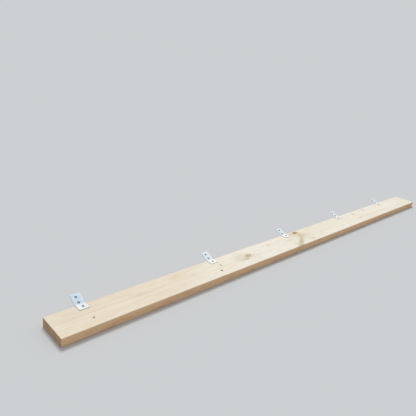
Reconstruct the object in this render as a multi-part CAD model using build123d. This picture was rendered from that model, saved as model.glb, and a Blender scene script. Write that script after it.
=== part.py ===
from build123d import *
import os
from math import cos, radians, sin, tan

# A timber purlin, stored flat as taken off the roof, with the bent tie plates that are nailed along its
# back edge. Millimetres. X runs along the purlin, Y across its width towards the plates and Z up through
# its thickness. The origin is the centre of the underside.

# Purlin: one length of regularised softwood with square saw-cut ends
purlin_length = 3000.0
purlin_width = 145.0
purlin_thickness = 38.0
arris_radius = 2.0

# Rafter centre lines that the purlin crosses, counted along it from its left end
first_rafter = 146.0
first_bay = 690.0
rafter_spacing = 600.0

# Tie plates: galvanised strip, bent where it leaves the purlin so that its free leg follows the rafter
plate_width = 42.0
plate_thickness = 2.0
plate_bend_angle = 24.4
bend_inside_radius = 3.0
purlin_leg_length = 35.0
rafter_leg_length = 50.0
plate_corner_radius = 3.0
plate_hole_diameter = 5.0
purlin_hole_from_bend = 17.5
near_hole_from_bend = 9.0
rafter_hole_spacing = 26.0

# How far the holes lie off the strip's centre line, along the purlin
purlin_hole_offset = 2.5
rafter_hole_offset = -3.0

# Plate nails: round galvanised nails with a flat chamfered head, one through each purlin leg
nail_shank_diameter = 3.75
nail_length = 30.0
nail_point_length = 5.0
nail_head_diameter = 8.5
nail_head_thickness = 1.4
nail_head_chamfer = 0.5
nail_neck_length = 1.6
neck_clearance = 0.15
pilot_clearance = 0.05

# Holes of the face nails that held the purlin down on the first two rafters: number of the rafter,
# offset along the purlin from that rafter's centre line, distance in from the front edge
face_nail_hole_diameter = 4.6
face_nail_holes = [(0, 2.0, 46.0), (1, -20.0, 41.5), (1, 13.0, 80.0)]

back_edge = purlin_width / 2
left_end = -purlin_length / 2


def rafter_places():
    """The X of each rafter centre line where a whole tie plate lies on the purlin."""
    places = [left_end + first_rafter]
    place = left_end + first_rafter + first_bay
    while place + plate_width / 2 <= -left_end:
        places.append(place)
        place += rafter_spacing
    return places


def face_nail_hole(x, in_from_front):
    """The hole of one face nail, straight through the purlin's thickness."""
    middle = Pos(x, in_from_front - back_edge, purlin_thickness / 2)
    return middle * Cylinder(face_nail_hole_diameter / 2, purlin_thickness)


def nail_seat():
    """The hole that a nail makes in the wood, from under its head down."""
    radius = nail_shank_diameter / 2 + pilot_clearance
    tip = -nail_length - pilot_clearance
    half = Polyline((0, 0), (radius, 0), (radius, tip + nail_point_length), (0, tip), close=True)
    return revolve(Plane.XZ * make_face(half), Axis.Z)


def nail():
    """One plate nail with the underside of its head at the origin."""
    head = nail_head_diameter / 2
    neck = plate_hole_diameter / 2 - neck_clearance
    shank = nail_shank_diameter / 2
    half = Polyline(
        (0, nail_head_thickness),
        (head - nail_head_chamfer, nail_head_thickness),
        (head, nail_head_thickness - nail_head_chamfer),
        (head, 0),
        (neck, 0),
        (shank, -nail_neck_length),
        (shank, nail_point_length - nail_length),
        (0, -nail_length),
        close=True,
    )
    return revolve(Plane.XZ * make_face(half), Axis.Z)


def on_rafter_leg(distance):
    """The place of a hole on the rafter leg's underside, that far from the bend, with Z square to the leg."""
    slope = radians(plate_bend_angle)
    return Pos(rafter_hole_offset, distance * cos(slope), distance * sin(slope)) * Rot(X=plate_bend_angle)


def tie_plate():
    """One bent plate. Its underside meets the bend's line at the origin, with the purlin leg along -Y."""
    slope = radians(plate_bend_angle)
    along = (cos(slope), sin(slope))
    square = (-sin(slope), cos(slope))
    # Where the two top faces would meet if the bend were sharp
    top_bend = (-plate_thickness * tan(slope / 2), plate_thickness)
    free_end = (rafter_leg_length * along[0], rafter_leg_length * along[1])
    free_end_top = (free_end[0] + plate_thickness * square[0], free_end[1] + plate_thickness * square[1])
    start, start_top = (-purlin_leg_length, 0), (-purlin_leg_length, plate_thickness)
    underside = FilletPolyline(start, (0, 0), free_end, radius=bend_inside_radius + plate_thickness)
    top = FilletPolyline(start_top, top_bend, free_end_top, radius=bend_inside_radius)
    outline = make_face(underside + Line(free_end, free_end_top) + top + Line(start_top, start))
    strip = extrude(Plane.YZ * outline, plate_width / 2, both=True)
    corners = [e for e in strip.edges() if abs(e.length - plate_thickness) < 1e-6]
    strip = fillet(corners, plate_corner_radius)
    punch = Cylinder(plate_hole_diameter / 2, 4 * plate_thickness)
    places = [Pos(purlin_hole_offset, -purlin_hole_from_bend, 0)]
    places += [on_rafter_leg(near_hole_from_bend + n * rafter_hole_spacing) for n in range(2)]
    return strip - [place * punch for place in places]


def nail_place(x):
    """Under the head of the plate nail over the rafter at x."""
    height = purlin_thickness + plate_thickness
    return Pos(x + purlin_hole_offset, back_edge - purlin_hole_from_bend, height)


def purlin(rafters):
    """The purlin with eased arrises, open face-nail holes and a seat for each plate nail."""
    board = Pos(0, 0, purlin_thickness / 2) * Box(purlin_length, purlin_width, purlin_thickness)
    board = fillet(board.edges().filter_by(Axis.X), arris_radius)
    holes = [
        face_nail_hole(rafters[number] + along, in_from_front)
        for number, along, in_from_front in face_nail_holes
        if number < len(rafters)
    ]
    seats = [nail_place(x) * nail_seat() for x in rafters]
    return board - holes - seats


rafters = rafter_places()
parts = {"purlin": purlin(rafters)}
for number, x in enumerate(rafters, start=1):
    parts[f"tie_plate_{number}"] = Pos(x, back_edge, purlin_thickness) * tie_plate()
    parts[f"plate_nail_{number}"] = nail_place(x) * nail()

os.makedirs("parts", exist_ok=True)
for name, part in parts.items():
    export_step(part, f"parts/{name}.step")
    print(name, round(part.volume), "mm3")
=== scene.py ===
# %% [markdown]
# # A timber purlin with its tie plates
# The real object is one long board of planed softwood. Five bent strips of galvanised steel are nailed
# along its back edge, and each has a free leg that rises past that edge. The shapes come from a packed
# CAD model, which we load first. The scene is in metres and in that model's frame: X runs along the
# board, Y across it and Z up, with the origin in the middle of its underside.

# %% Load the frame
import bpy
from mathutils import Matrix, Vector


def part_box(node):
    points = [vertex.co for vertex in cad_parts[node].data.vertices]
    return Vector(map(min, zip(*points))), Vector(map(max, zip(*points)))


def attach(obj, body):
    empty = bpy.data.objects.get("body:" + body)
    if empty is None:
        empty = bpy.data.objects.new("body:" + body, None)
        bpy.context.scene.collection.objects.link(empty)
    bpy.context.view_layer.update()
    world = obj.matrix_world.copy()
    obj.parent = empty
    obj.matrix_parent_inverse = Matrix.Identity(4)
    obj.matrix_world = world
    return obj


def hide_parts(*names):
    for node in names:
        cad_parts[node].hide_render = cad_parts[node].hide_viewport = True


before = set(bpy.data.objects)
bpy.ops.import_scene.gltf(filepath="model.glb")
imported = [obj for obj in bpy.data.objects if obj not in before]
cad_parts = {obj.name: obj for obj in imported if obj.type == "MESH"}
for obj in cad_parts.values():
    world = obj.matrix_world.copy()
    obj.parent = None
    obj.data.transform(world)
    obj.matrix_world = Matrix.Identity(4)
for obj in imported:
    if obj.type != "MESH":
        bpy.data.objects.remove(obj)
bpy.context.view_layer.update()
print("CAD nodes:", sorted(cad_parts))

# %% [markdown]
# ## Sizes
# A scene is easiest to change when its sizes come from one place. The board's own size and the places
# of its plates and nails are read from the frame. Only small features that the frame doesn't name are
# written as numbers, in millimetres, where they are first needed.

# %% Sizes
from math import ceil, cos, pi, radians, sin, tan

import bpy
import numpy as np
from mathutils import Matrix, Vector, geometry, noise

MM = 0.001
board_low, board_high = (np.array(corner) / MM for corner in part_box("purlin"))
LENGTH, WIDTH, THICKNESS = board_high - board_low
LEFT, FRONT = board_low[0], board_low[1]
BACK = board_high[1]
PLATES = sorted(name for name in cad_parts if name.startswith("tie_plate"))
NAILS = sorted(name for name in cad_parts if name.startswith("plate_nail"))


def middle(node):
    """X and Y of the middle of a CAD node's box, in millimetres."""
    low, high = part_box(node)
    return tuple((np.array(low) + np.array(high))[:2] / 2 / MM)


plate_xs = [middle(name)[0] for name in PLATES]
nail_seats = [middle(name) for name in NAILS]
print("Board", LENGTH, WIDTH, THICKNESS, "mm, plates at", np.round(plate_xs))

# %% [markdown]
# ## Camera
# A photograph fixes the camera by five things: where it stands, which way it looks, how far it looks
# down, how much it is rolled, and its focal length. They could be found by eye, but here they were
# worked out from straight edges in the photograph. The rotation is built from them in turn, so each can
# be changed by itself.

# %% Camera
CAMERA_PLACE = (-2.039, -1.181, 1.020)
VIEW_AZIMUTH, VIEW_DOWN, VIEW_ROLL = 46.30, 20.96, 7.78  # in degrees, the azimuth from +Y towards +X
FOCAL_PIXELS, IMAGE_PIXELS, SENSOR = 425.4, 416, 36.0


def add_to_scene(name, data):
    """A new object in the scene, made of that camera, lamp or mesh."""
    thing = bpy.data.objects.new(name, data)
    bpy.context.scene.collection.objects.link(thing)
    return thing


def add_camera():
    data = bpy.data.cameras.new("camera")
    data.sensor_width = SENSOR
    data.lens = FOCAL_PIXELS / IMAGE_PIXELS * SENSOR
    camera = add_to_scene("camera", data)
    turn = Matrix.Rotation(radians(-VIEW_AZIMUTH), 4, "Z")
    tip = Matrix.Rotation(radians(90 - VIEW_DOWN), 4, "X")
    roll = Matrix.Rotation(radians(VIEW_ROLL), 4, "Z")
    camera.matrix_world = Matrix.Translation(CAMERA_PLACE) @ turn @ tip @ roll
    bpy.context.scene.camera = camera
    return camera


camera = add_camera()
print("Lens", round(camera.data.lens, 2), "mm")

# %% [markdown]
# ## Building blocks for nodes
# The sky, the floor and every finish are graphs of small nodes. Each could be written out by hand, but
# that gets long and hides what matters. So one helper adds a node and fills its sockets, one does sums,
# and one starts a material.

# %% Node helpers
def add(tree, kind, inputs=None, **settings):
    """Adds a shader node, fills its sockets from values or from other sockets, and returns its outputs."""
    node = tree.nodes.new("ShaderNode" + kind)
    for name, value in settings.items():
        setattr(node, name, value)
    for name, value in (inputs or {}).items():
        if isinstance(value, bpy.types.NodeSocket):
            tree.links.new(value, node.inputs[name])
        else:
            node.inputs[name].default_value = value
    return node.outputs


def calc(tree, operation, *values):
    """The result of a Math node."""
    return add(tree, "Math", dict(enumerate(values)), operation=operation)[0]


def new_material(name, specular):
    """A material, its tree and the sockets of its surface shader."""
    material = bpy.data.materials.new(name)
    material.use_nodes = True
    surface = material.node_tree.nodes["Principled BSDF"].inputs
    surface["Specular IOR Level"].default_value = specular
    return material, material.node_tree, surface


print("Nodes are those of Blender", bpy.app.version_string)

# %% [markdown]
# ## Light and backdrop
# The photograph has broad daylight from behind, so the top is bright and the near edge lies in its own
# shade. A large soft sun and an even sky give the same. Both light every part of the floor alike, so
# the floor has one tone all over, and the sky shown to the camera can be given that tone too: no
# horizon line is left.

# %% Light and backdrop
SKY_LIGHT, SUN_LIGHT = 0.53, 0.47  # shares of the light on a level surface, which add up to 1
SUN_ELEVATION, SUN_AZIMUTH = 60.0, 28.0  # in degrees, the azimuth from +Y towards +X
SUN_SOFTNESS = 20.0
SKY_TINT = (0.97, 0.99, 1.0)
FLOOR_COLOUR = (0.62, 0.63, 0.64)
FLOOR_HALF = 40.0  # in metres


def add_sun():
    data = bpy.data.lights.new("sun", "SUN")
    data.energy = SUN_LIGHT * pi / sin(radians(SUN_ELEVATION))
    data.angle = radians(SUN_SOFTNESS)
    add_to_scene("sun", data).rotation_euler = (radians(90 - SUN_ELEVATION), 0, radians(180 - SUN_AZIMUTH))


def add_sky():
    """Even light for surfaces, and the floor's own tone for whatever looks at the sky itself."""
    world = bpy.data.worlds.new("sky")
    world.use_nodes = True
    tree = world.node_tree
    tree.nodes.clear()
    lit_floor = [part * (SUN_LIGHT + SKY_LIGHT * tint) for part, tint in zip(FLOOR_COLOUR, SKY_TINT)]
    light = add(tree, "Background", {"Color": (*SKY_TINT, 1), "Strength": SKY_LIGHT})[0]
    shown = add(tree, "Background", {"Color": (*lit_floor, 1)})[0]
    rays = add(tree, "LightPath")
    seen = calc(tree, "MAXIMUM", rays["Is Camera Ray"], rays["Is Glossy Ray"])
    seen = calc(tree, "MAXIMUM", seen, rays["Is Transmission Ray"])
    add(tree, "OutputWorld", {0: add(tree, "MixShader", {0: seen, 1: light, 2: shown})[0]})
    bpy.context.scene.world = world


def add_floor():
    low, high = -FLOOR_HALF, FLOOR_HALF
    mesh = bpy.data.meshes.new("floor")
    mesh.from_pydata([(low, low, 0), (high, low, 0), (high, high, 0), (low, high, 0)], [], [(0, 1, 2, 3)])
    floor = add_to_scene("floor", mesh)
    paint, _, surface = new_material("floor_paint", specular=0.0)
    surface["Base Color"].default_value = (*FLOOR_COLOUR, 1)
    surface["Roughness"].default_value = 1.0
    mesh.materials.append(paint)


add_sun()
add_sky()
add_floor()
bpy.context.scene.view_settings.view_transform = "Standard"
print("Sun", SUN_ELEVATION, "degrees up, with", SUN_LIGHT, "of the light on the floor")

# %% [markdown]
# ## How the tree grew
# A board is a slice of a tree: rings round the pith, and cones of denser wood where branches ran
# outward. Its pattern could be painted on each face, but then the faces wouldn't meet. So we work out a
# ring number and a knot distance for any point of the wood. The top shows them as long arches, the
# narrow edges as straight lines and the ends as arcs, and they meet at every arris, because all of them
# cut the same tree.

# %% The pith
PITH_Y, PITH_Z, PITH_RISE = -16.0, -58.0, 0.0075  # where it runs at the left end, and its rise for each mm
SWAY_Y, SWAY_Z = (7.0, 650.0, 0.6), (3.0, 300.0, 2.0)  # how far it sways, over what length, and its start


def sway(along, half_width, length, start):
    return half_width * np.sin(along / length + start)


def pith(x):
    """Y and Z of the pith below the board, which runs at a slight slope and wanders."""
    along = x - LEFT
    return PITH_Y + sway(along, *SWAY_Y), PITH_Z + PITH_RISE * along + sway(along, *SWAY_Z)


print("Pith at the ends:", [np.round(pith(x), 1) for x in (LEFT, -LEFT)])

# %% Noise and soft steps
SEED_SHIFT = 17.3


def bumps(points, length, width, seed):
    """Smooth noise from -1 to 1, in patches of about that length along the board and width across."""
    scaled = points / np.array([length, width, width]) + seed * SEED_SHIFT
    return np.array([noise.noise(Vector(p)) for p in scaled])


def smooth(low, high, value):
    """0 below low, 1 above high and an even curve between them."""
    t = np.clip((value - low) / (high - low), 0, 1)
    return t * t * (3 - 2 * t)


left_end = np.array([[LEFT, 0.0, 0.0]])
print("Noise at the left end:", [round(bumps(left_end, 420, 60, seed)[0], 2) for seed in (1, 2, 3)])

# %% [markdown]
# ## Branches
# Most branches were cut across and show as round knots. One was cut along its length, which a joiner
# calls a spike knot: a streak over the whole width of the top. Each knot is a cone that narrows towards
# the pith, and the spike follows a few stops. Both push the rings aside, because the wood grew round
# them.

# %% Knots
# Distance from the left end, distance in from the back edge, half length, half width, strength
KNOTS = [
    (1046.0, 67.0, 20.0, 12.0, 0.55),
    (1016.0, 85.0, 16.0, 9.0, 0.30),
    (983.0, 90.0, 14.0, 8.0, 0.14),
    (1526.0, 18.0, 18.0, 9.0, 1.0),
    (2209.0, 35.0, 11.0, 8.0, 0.40),
]
# How far a knot with that half width pushes the rings out, and how soon that fades with distance
KNOT_PUSH, PUSH_WIDTH, KNOT_FADE = 11.0, 13.0, 0.28
NO_KNOT = 9.0  # a reach at which no knot has any effect
print("Knots:", len(KNOTS), "at", [knot[0] for knot in KNOTS], "mm from the left end")

# %% The spike knot
# Distance in from the back edge, distance from the left end, half its length along the board, strength
SPIKE = [
    (22.0, 1534.0, 24.0, 0.85),
    (50.0, 1531.0, 33.0, 0.95),
    (80.0, 1509.0, 25.0, 0.85),
    (97.0, 1488.0, 21.0, 0.85),
    (112.0, 1458.0, 24.0, 1.0),
    (126.0, 1436.0, 30.0, 1.15),
    (143.0, 1422.0, 36.0, 1.1),
]
SPIKE_STARTS = (8, 30)  # it comes in over these distances from the back edge
SPIKE_DEPTH = 6  # and goes only that far down from the top
SPIKE_PUSH, SPIKE_FADE = 7.0, 0.45


def spike(points):
    """Where points lie on the spike: to its side, down it from 0 to 1, and how much it shows."""
    from_back, from_left, half, strength = np.array(SPIKE).T
    inward = BACK - points[:, 1]
    centre = LEFT + np.polyval(np.polyfit(from_back, from_left, 3), inward)
    side = (points[:, 0] - centre) / np.interp(inward, from_back, half)
    way = (inward - from_back[0]) / (from_back[-1] - from_back[0])
    shown = np.interp(inward, from_back, strength) * smooth(*SPIKE_STARTS, inward)
    return np.stack([side, way, shown * smooth(THICKNESS - SPIKE_DEPTH, THICKNESS, points[:, 2])], 1)


print("Spike: from", SPIKE[0][0], "to", SPIKE[-1][0], "mm in from the back edge")

# %% Rings and knots together
RING_WIDTH = 3.1
RING_WAVES = [(1.3, 420, 60), (0.45, 110, 22)]  # how far the rings waver, over what length and width


def tree_at(points):
    """Ring number and, for the nearest knot, its reach, two coordinates and strength, for points in mm."""
    x, y, z = points.T
    pith_y, pith_z = pith(x)
    distance = np.hypot(y - pith_y, z - pith_z)
    for seed, (amount, length, width) in enumerate(RING_WAVES, start=1):
        distance += amount * bumps(points, length, width, seed)
    aside, _, shown = spike(points).T
    distance -= SPIKE_PUSH * np.exp(-SPIKE_FADE * aside**2) * shown
    nearest = np.full(len(x), NO_KNOT)
    place = np.zeros((len(x), 3))
    for from_left, from_back, half_length, half_width, strength in KNOTS:
        # A branch narrows towards the pith, so it is followed down through the board
        knot_x, knot_y = LEFT + from_left, BACK - from_back
        share = (z - pith_z) / (THICKNESS - pith_z)
        across = y - (pith_y + (knot_y - pith_y) * share)
        u, v = (x - knot_x) / (half_length * share), across / (half_width * share)
        reach = np.hypot(u, v)
        distance -= KNOT_PUSH * half_width / PUSH_WIDTH * np.exp(-KNOT_FADE * reach**2)
        closer = reach < nearest
        nearest = np.where(closer, reach, nearest)
        place[closer] = np.stack([u, v, np.full(len(x), strength)], 1)[closer]
    return distance / RING_WIDTH, nearest, place


top_corner = np.array([[LEFT, BACK, THICKNESS]])
print("Ring number at the left end's top corner:", np.round(tree_at(top_corner)[0], 1))

# %% [markdown]
# ## The board's grid
# The board is a plain bar with eased edges. It could stay a box with a bump map, but bump can't show at
# an outline or in a raking light. So we build it as a loop of points round the section, repeated at
# stations along the length. They stand close together only near holes, knots and ends, which keeps the
# mesh light.

# %% The section
ARRIS, ARRIS_STEPS = 2.0, 4  # radius of the eased edges, and how many faces go round each
COLUMN_STEP = 2.6


def section_loop():
    """Points and outward normals round the section from the top's front corner, and each side's columns."""
    half, flat = WIDTH / 2, WIDTH / 2 - ARRIS
    low, high = ARRIS, THICKNESS - ARRIS
    wide = np.linspace(-flat, flat, ceil(2 * flat / COLUMN_STEP) + 1)
    tall = np.linspace(high, low, ceil((THICKNESS - 2 * ARRIS) / COLUMN_STEP) + 1)
    sides = [
        (np.stack([wide, np.full(len(wide), THICKNESS)], 1), (0, 1), (flat, high)),
        (np.stack([np.full(len(tall), half), tall], 1), (1, 0), (flat, low)),
        (np.stack([wide[::-1], np.zeros(len(wide))], 1), (0, -1), (-flat, low)),
        (np.stack([np.full(len(tall), -half), tall[::-1]], 1), (-1, 0), (-flat, high)),
    ]
    points, normals, columns = [], [], []
    for number, (side, normal, arris_middle) in enumerate(sides):
        columns.append((len(points), len(points) + len(side) - 1))
        points.extend(side)
        normals.extend([normal] * len(side))
        for n in range(1, ARRIS_STEPS):
            angle = pi / 2 - number * pi / 2 - n * pi / (2 * ARRIS_STEPS)
            outward = np.array([cos(angle), sin(angle)])
            points.append(np.array(arris_middle) + ARRIS * outward)
            normals.append(outward)
    return np.array(points), np.array(normals), columns


section, section_normals, side_columns = section_loop()
top_columns, _, bottom_columns, _ = side_columns
print("Section:", len(section), "points")

# %% The stations
# Face-nail holes: number of the plate, offset from its centre line, distance in from the front edge
FACE_NAILS = [(0, 2.0, 46.0), (1, -20.0, 41.5), (1, 13.0, 80.0)]
FACE_NAIL_RADIUS = 2.3
SHORT_STEP, LONG_STEP, STEP_GROWTH = 2.2, 9.5, 0.12
# How far the short steps reach on either side of an end, a hole, a knot in half lengths, and a spike's stop
END_FINE, NAIL_FINE, KNOT_FINE, SPIKE_FINE = 4, 12, 1.6, 20
face_nails = [(plate_xs[plate] + along, FRONT + inward) for plate, along, inward in FACE_NAILS]


def stations():
    """The X of each loop of points, closest together near ends, holes and knots."""
    fine = [(LEFT, END_FINE), (-LEFT, END_FINE)]
    fine += [(x, NAIL_FINE) for x, _ in face_nails]
    fine += [(LEFT + from_left, KNOT_FINE * half_length) for from_left, _, half_length, _, _ in KNOTS]
    fine += [(LEFT + from_left, SPIKE_FINE) for _, from_left, _, _ in SPIKE]
    xs = [LEFT]
    while xs[-1] < -LEFT:
        near = min(max(0, abs(xs[-1] - x) - reach) for x, reach in fine)
        xs.append(xs[-1] + min(LONG_STEP, SHORT_STEP + STEP_GROWTH * near))
    return LEFT + (np.array(xs) - LEFT) * LENGTH / (xs[-1] - LEFT)


station_xs = stations()
AROUND, LOOPS = len(section), len(station_xs)
print("Board grid:", LOOPS, "stations by", AROUND, "points")

# %% [markdown]
# ## Holes in the board
# Three face nails went straight through the board, and five plate nails stand in seats of their own
# shape. A boolean could cut them but leaves slivers. Here a square patch is taken out of the grid and
# filled again with rings that turn from the square into the circle. Every face stays a neat quad, and
# the rings can be pushed down into the dent that a hammered nail leaves.

# %% Points and bands of faces
PLANED, SAWN, HOLE = 0, 1, 2  # which finish a face takes
points = [(x, *place) for x in station_xs for place in section]
normals = [(0.0, *outward) for _ in station_xs for outward in section_normals]
faces, finishes = [], []
cut_cells = set()


def add_points(places, normal):
    """Adds points that share a normal and returns their numbers."""
    first = len(points)
    points.extend(places)
    normals.extend([normal] * len(places))
    return list(range(first, first + len(places)))


def bridge(outer, inner, finish, flip=False):
    """A band of faces between two loops of points of the same length."""
    for face in zip(outer, outer[1:] + outer[:1], inner[1:] + inner[:1], inner):
        faces.append(face[::-1] if flip else face)
        finishes.append(finish)


print("Grid points:", len(points))

# %% Cutting the holes
HOLE_PATCH = 7.0  # half the square that is taken out for a hole
RIM_STEPS = (3.2, 1.8, 0.9, 0.35, 0.0)  # distance of each ring from the rim of a face-nail hole
SEAT_STEPS = (1.2, 0.0)
NAIL_SHANK, NAIL_POINT = 1.875, 5.0  # radius of a plate nail's shank, and the length of its point
SEAT_ROOM = 0.05  # between a nail and its seat


def take_out(x, y, columns):
    """Cuts the square of cells round a hole, and returns the loop round it, anticlockwise from above."""
    first, last = columns
    ys = section[first : last + 1, 0]
    i0 = int(np.searchsorted(station_xs, x - HOLE_PATCH)) - 1
    i1 = int(np.searchsorted(station_xs, x + HOLE_PATCH))
    rows = [first + int(k) for k in np.argsort(ys) if abs(ys[k] - y) < HOLE_PATCH + COLUMN_STEP / 2]
    cut_cells.update((i, min(pair)) for i in range(i0, i1) for pair in zip(rows, rows[1:]))
    loop = [(i, rows[0]) for i in range(i0, i1)] + [(i1, j) for j in rows[:-1]]
    loop += [(i, rows[-1]) for i in range(i1, i0, -1)] + [(i0, j) for j in rows[:0:-1]]
    return [i * AROUND + j for i, j in loop]


def close_in(x, y, z, columns, steps, radius, flip=False):
    """Fills a taken-out square with rings down to the hole's circle, and returns that circle."""
    loop = take_out(x, y, columns)
    outward = np.array([points[v][:2] for v in loop]) - (x, y)
    outward /= np.linalg.norm(outward, axis=1, keepdims=True)
    for step in steps:
        ring = (x, y) + outward * (radius + step)
        inner = add_points([(*place, z) for place in ring], (0.0, 0.0, -1.0 if flip else 1.0))
        bridge(loop, inner, PLANED, flip)
        loop = inner
    return loop


def add_face_nail_hole(x, y):
    top = close_in(x, y, THICKNESS, top_columns, RIM_STEPS, FACE_NAIL_RADIUS)
    low = close_in(x, y, 0.0, bottom_columns, RIM_STEPS, FACE_NAIL_RADIUS, flip=True)
    bridge(top, low, HOLE)


def add_nail_seat(x, y, nail_tip):
    rim = close_in(x, y, THICKNESS, top_columns, SEAT_STEPS, NAIL_SHANK + SEAT_ROOM)
    tip = nail_tip - SEAT_ROOM
    shoulder = add_points([(*points[v][:2], tip + NAIL_POINT) for v in rim], (0.0, 0.0, 0.0))
    bridge(rim, shoulder, HOLE)
    (point,) = add_points([(x, y, tip)], (0.0, 0.0, 0.0))
    for first, second in zip(shoulder, shoulder[1:] + shoulder[:1]):
        faces.append((first, second, point))
        finishes.append(HOLE)


for nail_x, nail_y in face_nails:
    add_face_nail_hole(nail_x, nail_y)
for (nail_x, nail_y), nail in zip(nail_seats, NAILS):
    add_nail_seat(nail_x, nail_y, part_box(nail)[0].z / MM)
print("Faces round and in the holes:", len(faces))

# %% The rest of the board's skin
for i in range(LOOPS - 1):
    for j in range(AROUND):
        if (i, j) not in cut_cells:
            a, b = i * AROUND + j, i * AROUND + (j + 1) % AROUND
            faces.append((a, a + AROUND, b + AROUND, b))
            finishes.append(PLANED)
print("Faces of the sides and the holes:", len(faces))

# %% [markdown]
# ## Ends of the board
# The ends are sawn off square. Each is an outline with a round corner at every arris, and one big face
# would have nothing to carry the torn fibres at its foot. So it is filled with small triangles on a
# grid of points.

# %% Closing the ends
END_GRID = 3.0
MERGE_DISTANCE = 1e-6


def fill_flat(loop, inner, edges=()):
    """Triangles, anticlockwise, that fill an outline and meet its inner points, by their numbers."""
    flat = [Vector(place) for place in [*loop, *inner]]
    outline = [list(range(len(loop)))]
    result = geometry.delaunay_2d_cdt(flat, list(edges), outline, 1, MERGE_DISTANCE)
    places, _, found, origins, _, _ = result
    triangles = []
    for triangle in found:
        a, b, c = (places[v] for v in triangle)
        turn = (b - a).cross(c - b)
        numbers = [origins[v][0] for v in triangle]
        triangles.append(numbers if turn > 0 else numbers[::-1])
    return triangles


def add_end(loop_number, outward):
    """Closes one end, whose outward direction along X is +1 or -1."""
    first = loop_number * AROUND
    for j in range(AROUND):
        normals[first + j] = (outward, *section_normals[j])
    ys = np.arange(FRONT + END_GRID, BACK - END_GRID / 2, END_GRID)
    zs = np.arange(END_GRID, THICKNESS - END_GRID / 2, END_GRID)
    inner = [(y, z) for y in ys for z in zs]
    inside = add_points([(station_xs[loop_number], *place) for place in inner], (outward, 0.0, 0.0))
    numbers = [*range(first, first + AROUND), *inside]
    for triangle in fill_flat(section, inner):
        face = [numbers[v] for v in triangle]
        faces.append(face if outward > 0 else face[::-1])
        finishes.append(SAWN)


add_end(0, -1.0)
add_end(LOOPS - 1, 1.0)
print("Faces with the ends:", len(faces))

# %% The board's points that are left
# The points inside the squares that were taken out belong to no face, so they go
used = sorted({v for face in faces for v in face})
new_number = {old: new for new, old in enumerate(used)}
faces = [tuple(new_number[v] for v in face) for face in faces]
points, normals = np.array(points)[used], np.array(normals)[used]
print("Board:", len(points), "points and", len(faces), "faces")

# %% [markdown]
# ## Relief
# Planed softwood isn't dead flat. It waves a little where it dried, its arrises are worn and knocked,
# hard knots stand up, and each face nail has left a crushed dent. It could be sculpted by hand, but a
# rule for each of these is easier to change. All of it goes inward from the real size, so the board
# never grows, and it fades out where a plate lies flat on the wood.

# %% Relief
PLATE_HALF, PURLIN_LEG = 21.0, 35.0  # half the plate's width, and how far it reaches over the wood
PLATE_FADE = (1, 8)  # the relief comes back between these distances from a plate
WAVES, KNOT_STANDS = 0.09, 0.09  # half the height of the slow waves, and how far a knot stands up
KNOT_EDGE_FADE = (0.7, 1.2)
ARRIS_WEAR, KNOCK_DEPTH, KNOCK_ABOVE = 0.25, 3.5, 0.4  # knocks come where their noise is above that
DENT_DEPTH, DENT_REACH = 0.8, 1.5
TEAR_DEPTH, TEAR_HEIGHT = 1.3, 3.5  # torn fibres at the foot of the ends


def under_plates(points):
    """1 under the leg of a tie plate that lies on the wood, 0 elsewhere."""
    x, y, z = points.T
    covered = np.zeros(len(x))
    for plate_x in plate_xs:
        outside = np.maximum(np.abs(x - plate_x) - PLATE_HALF, BACK - PURLIN_LEG - y)
        covered = np.maximum(covered, 1 - smooth(*PLATE_FADE, outside))
    return covered * (z > THICKNESS - ARRIS / 4)


def to_face_nail(points):
    """Distance in mm from the rim of the nearest face-nail hole, at any depth, and which hole it is."""
    reach = np.array([np.hypot(points[:, 0] - x, points[:, 1] - y) for x, y in face_nails])
    return np.maximum(reach.min(0) - FACE_NAIL_RADIUS, 0), reach.argmin(0)


def relief(points, normals, knot):
    """How far each point moves inward along its normal, in mm."""
    along, across, upward = np.abs(normals[:, 0]), np.abs(normals[:, 1]), normals[:, 2]
    on_end, on_top = along > 0.5, upward > 0.9
    on_arris = np.minimum(across, np.abs(upward)) > 0.2
    in_hole = np.abs(normals).sum(1) == 0
    depth = WAVES + WAVES * (1 + bumps(points, 240, 60, seed=3))
    depth -= KNOT_STANDS * (1 - smooth(*KNOT_EDGE_FADE, knot))
    wear = ARRIS_WEAR * (1 + bumps(points, 60, 30, seed=4))
    knocks = KNOCK_DEPTH * np.maximum(0, bumps(points, 26, 16, seed=5) - KNOCK_ABOVE)
    depth += on_arris * (wear + knocks)
    depth += on_top * DENT_DEPTH * np.exp(-to_face_nail(points)[0] / DENT_REACH)
    torn = np.maximum(0, bumps(points, 30, 9, seed=6)) * np.exp(-points[:, 2] / TEAR_HEIGHT)
    depth += on_end * TEAR_DEPTH * torn
    return depth * (1 - under_plates(points)) * ~in_hole


ring, knot, knot_place = tree_at(points)
depth = relief(points, normals, knot)
print("Ring numbers from", round(ring.min(), 1), "to", round(ring.max(), 1))
print("Deepest relief:", round(depth.max(), 2), "mm")

# %% Make the board
def new_piece(name, places, faces, replaced, sharp=46):
    """A piece from points in mm, smooth but for edges above that angle. It stands for a CAD node."""
    mesh = bpy.data.meshes.new(name)
    corners = [Vector(place) * MM for place in places]
    mesh.from_pydata(corners, [], [list(map(int, face)) for face in faces])
    mesh.shade_smooth()
    mesh.set_sharp_from_angle(angle=radians(sharp))
    piece = add_to_scene(name, mesh)
    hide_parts(replaced)
    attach(piece, "root")
    return piece


moved = points - normals * depth[:, None]
board = new_piece("purlin_board", moved, faces, "purlin")
board.data.polygons.foreach_set("material_index", finishes)
print(board.name, "size", [round(side / MM, 1) for side in board.dimensions], "mm")
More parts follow.
